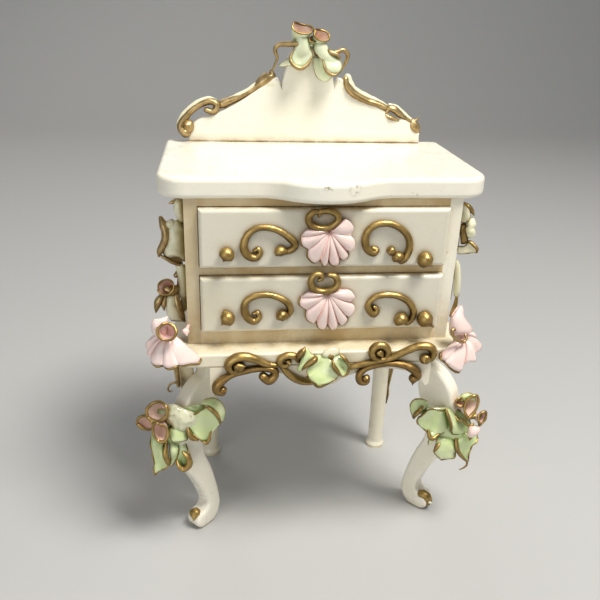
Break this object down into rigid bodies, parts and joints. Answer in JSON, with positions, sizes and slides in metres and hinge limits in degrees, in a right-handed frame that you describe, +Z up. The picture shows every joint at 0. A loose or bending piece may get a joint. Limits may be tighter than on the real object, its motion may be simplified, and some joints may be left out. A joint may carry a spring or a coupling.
{
  "type": "miniature chest of drawers",
  "caption": "Dolls house chest of drawers with bowed top, cabriole front legs, shaped back gallery, gilt scrolls and enamelled shells, roses and leaves; drawers slide.",
  "frame": {"origin": "on the floor, under the middle of the chest's bounding box", "axes": "+Z up; the drawers face -Y and slide out along -Y; +X is to the right seen from the front"},
  "size_m": [0.0669, 0.0407, 0.0995],
  "materials": {
    "cream_paint": "satin",
    "gilt": "satin",
    "pink_enamel": "gloss",
    "green_enamel": "gloss"
  },
  "bodies": {
    "cabinet": {"apron_bow": "green_enamel", "apron_coils": "gilt", "apron_lower_scroll_left": "gilt", "apron_lower_scroll_right": "gilt", "apron_upper_scroll_left": "gilt", "apron_upper_scroll_right": "gilt", "back_panel": "cream_paint", "backsplash": "cream_paint", "base_board": "cream_paint", "carcass_floor": "cream_paint", "corner_curl_right": "gilt", "corner_rose_left": "pink_enamel", "corner_shell_left": "pink_enamel", "corner_shell_right": "pink_enamel", "crest_leaves": "green_enamel", "crest_roses": "pink_enamel", "crest_tendril_left": "gilt", "crest_tendril_right": "gilt", "drawer_divider": "cream_paint", "front_apron": "cream_paint", "front_leg_left": "cream_paint", "front_leg_right": "cream_paint", "gallery_ribbon_left": "gilt", "gallery_ribbon_right": "gilt", "leg_leaves_left": "green_enamel", "leg_leaves_right": "green_enamel", "leg_roses_left": "pink_enamel", "leg_roses_right": "pink_enamel", "rear_leg_leaves": "green_enamel", "rear_leg_left": "cream_paint", "rear_leg_right": "cream_paint", "side_leaves_left": "green_enamel", "side_leaves_right": "green_enamel", "side_panel_left": "cream_paint", "side_panel_right": "cream_paint", "side_rose_left": "pink_enamel", "toe_beads": "gilt", "top_board": "cream_paint", "top_rail": "cream_paint"},
    "upper_drawer": {"upper_beads": "gilt", "upper_drawer_back": "cream_paint", "upper_drawer_floor": "cream_paint", "upper_drawer_front": "cream_paint", "upper_drawer_side_left": "cream_paint", "upper_drawer_side_right": "cream_paint", "upper_pull_ring": "gilt", "upper_pull_shell": "pink_enamel", "upper_scroll_left": "gilt", "upper_scroll_right": "gilt"},
    "lower_drawer": {"lower_beads": "gilt", "lower_drawer_back": "cream_paint", "lower_drawer_floor": "cream_paint", "lower_drawer_front": "cream_paint", "lower_drawer_side_left": "cream_paint", "lower_drawer_side_right": "cream_paint", "lower_pull_ring": "gilt", "lower_pull_shell": "pink_enamel", "lower_scroll_left": "gilt", "lower_scroll_right": "gilt"}
  },
  "joints": [
    {"name": "lower_drawer_slide", "type": "slide", "parent": "cabinet", "child": "lower_drawer", "axis": [0, -1, 0], "range_m": [0, 0.02]},
    {"name": "upper_drawer_slide", "type": "slide", "parent": "cabinet", "child": "upper_drawer", "axis": [0, -1, 0], "range_m": [0, 0.02]}
  ]
}
